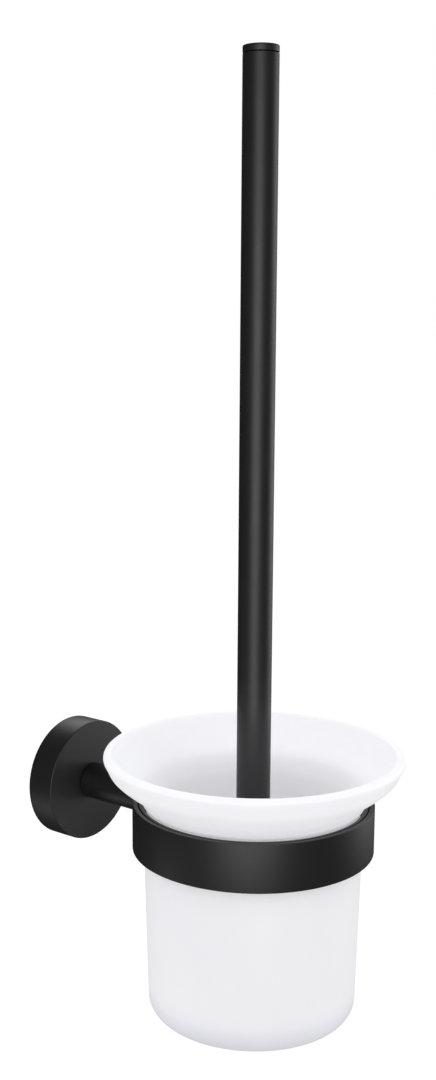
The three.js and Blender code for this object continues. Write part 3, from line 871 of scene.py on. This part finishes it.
class BRUSHHOLDER_OT_brush_head(bpy.types.Operator):
    """Stud, moulded core and nylon tufts of the brush head"""
    bl_idname = "brush_holder.brush_head"
    bl_label = "Brush head"

    def execute(self, context):
        sizes, colours = settings(context)
        self.stud(sizes, turned_steel("stud_steel", colours.steel))
        self.core(moulded_plastic("core_plastic", colours.white_plastic, 0.35))
        nylon = nylon_filament("tuft_nylon", colours.nylon)
        random = np.random.default_rng(sizes.seed)
        self.side_tufts(sizes, nylon, random)
        self.end_tufts(sizes, nylon, random)
        return {"FINISHED"}

    def stud(self, sizes, steel):
        low, high = reach_of("brush_stud", "Z")
        radius, taper = radius_of("brush_stud"), STUD_TAPER
        outline = [(0, low), (radius - taper, low), (radius, low + taper), (radius, high - taper),
                   (radius - taper, high), (0, high)]
        thread = (low + taper, high - taper, SCREW_THREAD)
        stud = threaded("head_stud", outline, thread, "Z", CUP_AXIS, steel, sizes.thread_pitch)
        settle(stud, "brush_head", "bright_steel", "brush_stud")

    def core(self, plastic):
        """Core with a collar under the handle and a blind hole for the stud."""
        low, high = reach_of("brush_core", "Z")
        collar, under = radius_of("brush_core"), high - CORE_COLLAR
        bore_end = reach_of("brush_stud", "Z")[0] - MM
        outline = rounded([
            (0, low, 0), (CORE_SHANK, low, CORE_ROUND), (CORE_SHANK, under - MM, CORE_ROUND),
            (collar, under, 0.5 * MM), (collar, high - MM, COLLAR_ROUND), (collar - MM, high, COLLAR_ROUND),
            (STUD_BORE, high, 0.2 * MM), (STUD_BORE, bore_end, 0), (0, bore_end, 0)])
        core = turned("moulded_core", outline, "Z", CUP_AXIS, plastic, steps=96)
        settle(core, "brush_head", "white_plastic", "brush_core")

    def side_tufts(self, sizes, nylon, random):
        """Rows of tufts round the core. Each tuft leaves its hole radially and fans out; the rows near the
        top and bottom lean away from the middle, and the tips are trimmed to a rounded cylinder."""
        low, high = reach_of("side_bristles", "Z")
        outer, centre, half = radius_of("side_bristles"), (low + high) / 2, (high - low) / 2
        rows, count = sizes.tuft_rows, sizes.tufts_round
        row, place = np.meshgrid(np.arange(rows), np.arange(count), indexing="ij")
        turn = (FULL_TURN * (place + 0.5 * (row % 2)) / count).ravel()
        up = ((row / (rows - 1) - 0.5) * 2).ravel()
        height = centre + up * half * 0.84
        starts, tips = self.fan(turn, height, TUFT_LEAN * up, outer, sizes.filaments, random)
        tip_height = np.clip(tips[:, 2], low + 0.2 * MM, high - 0.2 * MM)
        near_end = np.clip((np.abs(tip_height - centre) - half) / TUFT_SHOULDER + 1, 0, 1)
        limit = outer - TUFT_SHOULDER * (1 - np.sqrt(1 - near_end ** 2)) - 0.3 * MM
        limit = limit - random.random(len(limit)) * 0.9 * MM
        flat = np.hypot(tips[:, 0], tips[:, 1])
        tips[:, :2] *= (limit / flat)[:, None]
        tips[:, 2] = tip_height
        tufts = self.strands("side_tufts", starts, tips, sizes.filament_width, nylon, random)
        settle(tufts, "brush_head", "white_nylon", "side_bristles")

    def end_tufts(self, sizes, nylon, random):
        """Tufts that leave the core's end and fan downwards to a shallow dome."""
        low, high = reach_of("end_bristles", "Z")
        count = END_TUFTS * sizes.filaments
        reach = np.sqrt(random.random(count)) * 0.97
        turn = FULL_TURN * random.random(count)
        tip_height = low + (high - low) * 0.86 * np.clip((reach - 0.35) / 0.62, 0, 1) ** 2.2
        tip_height = tip_height + random.random(count) * 0.8 * MM
        across = np.column_stack([reach * np.cos(turn), reach * np.sin(turn)])
        starts = np.column_stack([across * END_ROOT, np.full(count, high + 1.2 * MM)])
        tips = np.column_stack([across * radius_of("end_bristles"), np.minimum(tip_height, high)])
        tufts = self.strands("end_tufts", starts, tips, sizes.filament_width, nylon, random)
        settle(tufts, "brush_head", "white_nylon", "end_bristles")

    def fan(self, turn, height, lean, outer, filaments, random):
        """Start and tip of every filament: its tuft's direction plus a small random tilt both ways."""
        turn, height, lean = (np.repeat(v, filaments) for v in (turn, height, lean))
        spin = FULL_TURN * random.random(len(turn))
        spread = np.sqrt(random.random(len(turn)))
        hole = TUFT_HOLE * spread
        start_turn = turn + hole * np.cos(spin) / TUFT_ROOT
        start_height = height + hole * np.sin(spin)
        tip_turn = turn + TUFT_SPREAD * spread * np.cos(spin) + 0.02 * random.standard_normal(len(turn))
        tip_height = height + (outer - TUFT_ROOT) * (lean + TUFT_FAN * spread * np.sin(spin))
        starts = np.column_stack(
            [TUFT_ROOT * np.cos(start_turn), TUFT_ROOT * np.sin(start_turn), start_height])
        tips = np.column_stack([outer * np.cos(tip_turn), outer * np.sin(tip_turn), tip_height])
        return starts, tips

    def strands(self, name, starts, tips, width, nylon, random):
        """Every filament is a three-sided rod along a gentle curve: start and tip joined by a quadratic whose
        middle is pushed a little sideways. Its cross-section is a triangle of the filament's width."""
        count = len(starts)
        along = np.linspace(0, 1, STRAND_RINGS)[None, :, None]
        span = tips - starts
        length = np.linalg.norm(span, axis=1, keepdims=True)
        push = random.standard_normal((count, 3)) * length * 0.025
        middle_point = (starts + tips) / 2 + push
        path = ((1 - along) ** 2 * starts[:, None] + 2 * along * (1 - along) * middle_point[:, None]
                + along ** 2 * tips[:, None])
        forward = span / length
        helper = np.where(np.abs(forward[:, 2:]) < 0.8, [[0.0, 0.0, 1.0]], [[1.0, 0.0, 0.0]])
        side = np.cross(forward, helper)
        side = side / np.linalg.norm(side, axis=1, keepdims=True)
        other = np.cross(forward, side)
        corners = (FULL_TURN * np.arange(STRAND_SIDES) / STRAND_SIDES)[None, :, None]
        ring = side[:, None] * np.cos(corners) + other[:, None] * np.sin(corners)
        points = path[:, :, None] + ring[:, None] * width / 2
        points = points.reshape(-1, 3) + np.array(CUP_AXIS)
        return mesh_object(name, points, self.strand_faces(count), nylon, crease=80)

    def strand_faces(self, count):
        """Quads between the rings of every filament and a triangle at each end."""
        base = STRAND_RINGS * STRAND_SIDES * np.arange(count)[:, None, None]
        step, corner = np.meshgrid(np.arange(STRAND_RINGS - 1), np.arange(STRAND_SIDES), indexing="ij")
        here = (STRAND_SIDES * step + corner).reshape(1, -1)
        beside = (STRAND_SIDES * step + (corner + 1) % STRAND_SIDES).reshape(1, -1)
        quads = np.stack([here, beside, beside + STRAND_SIDES, here + STRAND_SIDES], axis=-1) + base
        first = np.arange(STRAND_SIDES)
        ends = np.array([first[::-1], first + STRAND_SIDES * (STRAND_RINGS - 1)])[None] + base
        return quads.reshape(-1, 4).tolist() + ends.reshape(-1, 3).tolist()


# ---------------------------------------------------------------- stage

FLOOR_DROP = 0.5               # from the foot of the cup down to the floor
FLOOR_DEPTH = 0.02
FLOOR_RADIUS = 30
LIGHT_AIM = 0.05               # height that the lights point at
CAMERA_PLACE = (-0.4665, -0.4408, 0.2130)
CAMERA_HEADING = -50.935       # degrees from straight in front, to the left
CAMERA_TILT = 10.946           # degrees that it looks down
CAMERA_LENS = 48.585           # millimetres, on a sensor 36 wide
CAMERA_SHIFT = (0.0393, 0.0394)


def direction(azimuth, elevation):
    """The unit vector from the object to a place at an azimuth and elevation in degrees, 0 being in front."""
    a, e = math.radians(azimuth), math.radians(elevation)
    return Vector((math.sin(a) * math.cos(e), -math.cos(a) * math.cos(e), math.sin(e)))


class BRUSHHOLDER_OT_stage(bpy.types.Operator):
    """Pale floor, soft lights, white surroundings and the camera"""
    bl_idname = "brush_holder.stage"
    bl_label = "Stage"

    def execute(self, context):
        colours = settings(context)[1]
        self.floor(pale_floor("floor_paint", colours.floor))
        self.surroundings(context)
        self.lights()
        self.camera(context)
        context.scene.view_settings.view_transform = "Standard"
        return {"FINISHED"}

    def floor(self, paint):
        """A wide disc well below the cup, kept out of the reflections in the black coat."""
        low = reach_of("glass_cup", "Z")[0] - FLOOR_DROP
        under = low - FLOOR_DEPTH
        outline = [(0, under), (FLOOR_RADIUS, under), (FLOOR_RADIUS, low), (0, low)]
        floor = turned("floor", outline, "Z", CUP_AXIS, paint, steps=64)
        floor.visible_glossy = False
        floor.visible_diffuse = False

    def surroundings(self, context):
        """White to look at, an even soft light from all round, and dark flags for the reflections."""
        world = bpy.data.worlds.new("studio")
        context.scene.world = world
        world.use_nodes = True
        tree = world.node_tree
        path = tree.nodes.new("ShaderNodeLightPath")
        shader = self.glow(tree, (0.98, 0.98, 1.0), 0.785)
        for ray, colour, strength in (("Is Glossy Ray", (0.95, 0.97, 1.0), 0.05),
                                      ("Is Camera Ray", (1.0, 1.0, 1.0), 1.0)):
            mix = tree.nodes.new("ShaderNodeMixShader")
            tree.links.new(path.outputs[ray], mix.inputs[0])
            tree.links.new(shader, mix.inputs[1])
            tree.links.new(self.glow(tree, colour, strength), mix.inputs[2])
            shader = mix.outputs[0]
        tree.links.new(shader, tree.nodes["World Output"].inputs["Surface"])

    def glow(self, tree, colour, strength):
        background = tree.nodes.new("ShaderNodeBackground")
        background.inputs["Color"].default_value = (*colour, 1)
        background.inputs["Strength"].default_value = strength
        return background.outputs[0]

    def lights(self):
        """Softboxes that only gloss the surfaces: a tall one behind the camera, one on the right, one high
        behind the wall's plane, and a small one far down on the left. The even light comes from all round."""
        for name, azimuth, elevation, distance, width, height, power in (
                ("key", -58, 4, 1.0, 0.8, 1.0, 8.5),
                ("side", 66, 5, 1.3, 1.0, 1.1, 7),
                ("back", 128, 40, 1.4, 1.0, 0.9, 8),
                ("low", -142, -40, 0.7, 0.25, 0.25, 0.28)):
            self.softbox(name, direction(azimuth, elevation), distance, width, height, power)

    def softbox(self, name, away, distance, width, height, power):
        """A rectangular light at a distance from a point over the middle of the cup, facing it."""
        light = bpy.data.lights.new(name, "AREA")
        light.shape = "RECTANGLE"
        light.size, light.size_y, light.energy = width, height, power
        lamp = bpy.data.objects.new(name, light)
        lamp.location = Vector((CUP_AXIS[0], CUP_AXIS[1], LIGHT_AIM)) + away * distance
        lamp.rotation_mode = "QUATERNION"
        lamp.rotation_quaternion = away.to_track_quat("Z", "Y")
        lamp.visible_camera = False
        lamp.visible_diffuse = False
        bpy.context.scene.collection.objects.link(lamp)

    def camera(self, context):
        """Looks down on the cup from its front left."""
        data = bpy.data.cameras.new("camera")
        data.sensor_width = 36
        data.lens = CAMERA_LENS
        data.shift_x, data.shift_y = CAMERA_SHIFT
        data.clip_start, data.clip_end = 0.01, 100
        eye = bpy.data.objects.new("camera", data)
        eye.location = CAMERA_PLACE
        eye.rotation_mode = "QUATERNION"
        eye.rotation_quaternion = direction(CAMERA_HEADING, CAMERA_TILT).to_track_quat("Z", "Y")
        context.scene.collection.objects.link(eye)
        context.scene.camera = eye


# ---------------------------------------------------------------- panel and registration

STEPS = (
    BRUSHHOLDER_OT_stage,
    BRUSHHOLDER_OT_wall_fixing,
    BRUSHHOLDER_OT_arm,
    BRUSHHOLDER_OT_ring,
    BRUSHHOLDER_OT_cup,
    BRUSHHOLDER_OT_handle,
    BRUSHHOLDER_OT_brush_head,
)


class BRUSHHOLDER_PT_panel(bpy.types.Panel):
    """Lists the steps that build the holder"""
    bl_idname = "BRUSHHOLDER_PT_panel"
    bl_label = "Brush holder"
    bl_space_type = "VIEW_3D"
    bl_region_type = "UI"
    bl_category = "Brush holder"

    def draw(self, context):
        for step in STEPS:
            self.layout.operator(step.bl_idname)


CLASSES = (HolderSizes, HolderColours, *STEPS, BRUSHHOLDER_PT_panel)


def register():
    for cls in CLASSES:
        bpy.utils.register_class(cls)
    bpy.types.Scene.holder_sizes = PointerProperty(type=HolderSizes)
    bpy.types.Scene.holder_colours = PointerProperty(type=HolderColours)


def unregister():
    del bpy.types.Scene.holder_sizes
    del bpy.types.Scene.holder_colours
    for cls in reversed(CLASSES):
        bpy.utils.unregister_class(cls)


def main():
    register()
    for step in STEPS:
        group, action = step.bl_idname.split(".")
        getattr(getattr(bpy.ops, group), action)()


if __name__ == "__main__":
    main()
